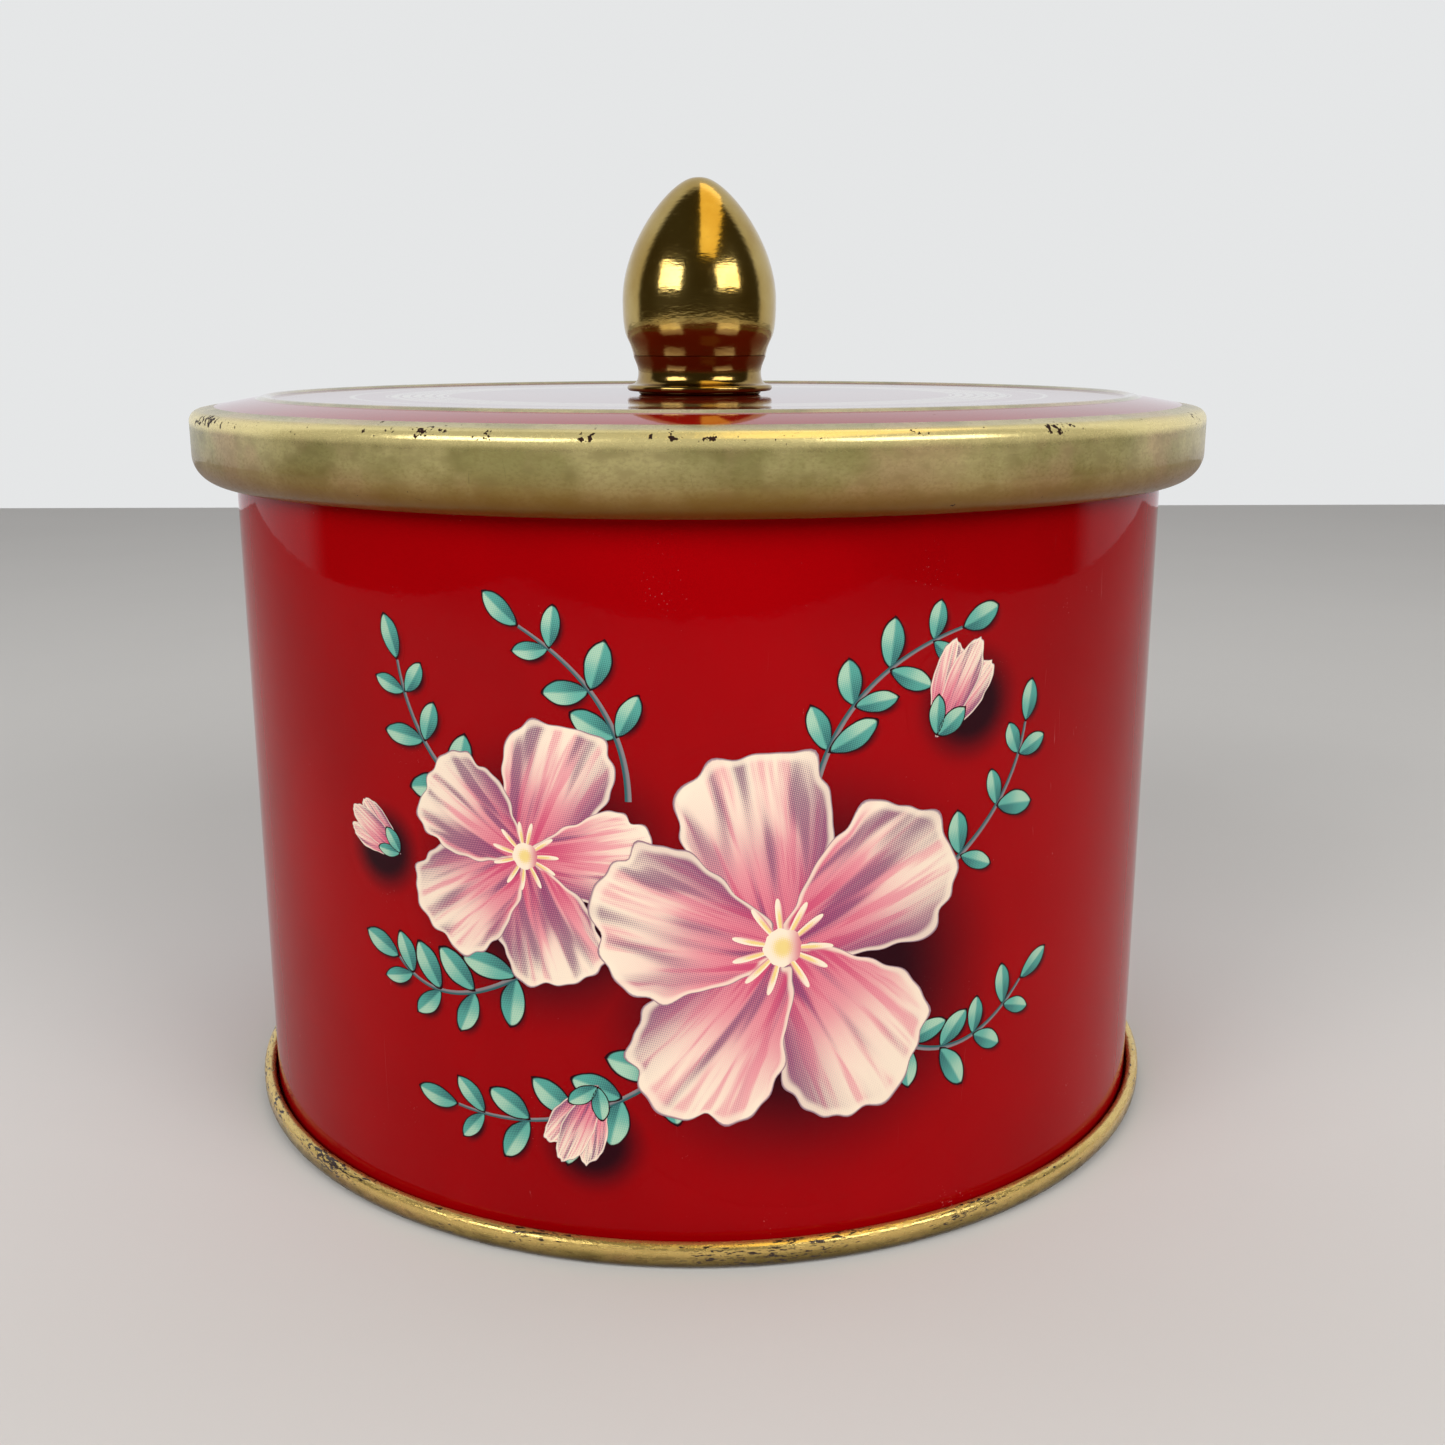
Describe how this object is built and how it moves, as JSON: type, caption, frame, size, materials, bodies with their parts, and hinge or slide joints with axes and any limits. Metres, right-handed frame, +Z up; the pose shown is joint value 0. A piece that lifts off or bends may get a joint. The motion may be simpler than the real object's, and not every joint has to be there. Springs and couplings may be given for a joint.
{
  "type": "tea caddy",
  "caption": "Round tinplate tea caddy with double-seamed bottom, deep rounded lift-off cap lid and egg-shaped brass knob screwed on from inside.",
  "frame": {"origin": "centre of the foot, on the surface the tin stands on", "axes": "+Z up along the tin's axis, with the side seam at the back, towards +Y"},
  "size_m": [0.1378, 0.1378, 0.1265],
  "materials": {
    "red_lacquer": null,
    "gold_tinplate": "worn, mottled gold lacquer on tinplate",
    "gold_lacquer": "satin champagne-gold lacquer on the rim, glossy red lacquer with gold bands on top, bare tinplate inside",
    "polished_brass": "polished drawn brass",
    "turned_brass": "turned brass, dull",
    "plated_steel": "zinc-plated steel"
  },
  "bodies": {
    "tin": {"body_wall": "red_lacquer", "bottom_end": "gold_tinplate"},
    "lid": {"lid_cap": "gold_lacquer", "knob_shell": "polished_brass", "knob_collar": "polished_brass", "knob_insert": "turned_brass", "knob_screw": "plated_steel", "knob_washer": "plated_steel"}
  },
  "joints": [
    {"name": "lid_lift", "type": "slide", "parent": "tin", "child": "lid", "axis": [0, 0, 1], "range_m": [0, 0.12]}
  ]
}
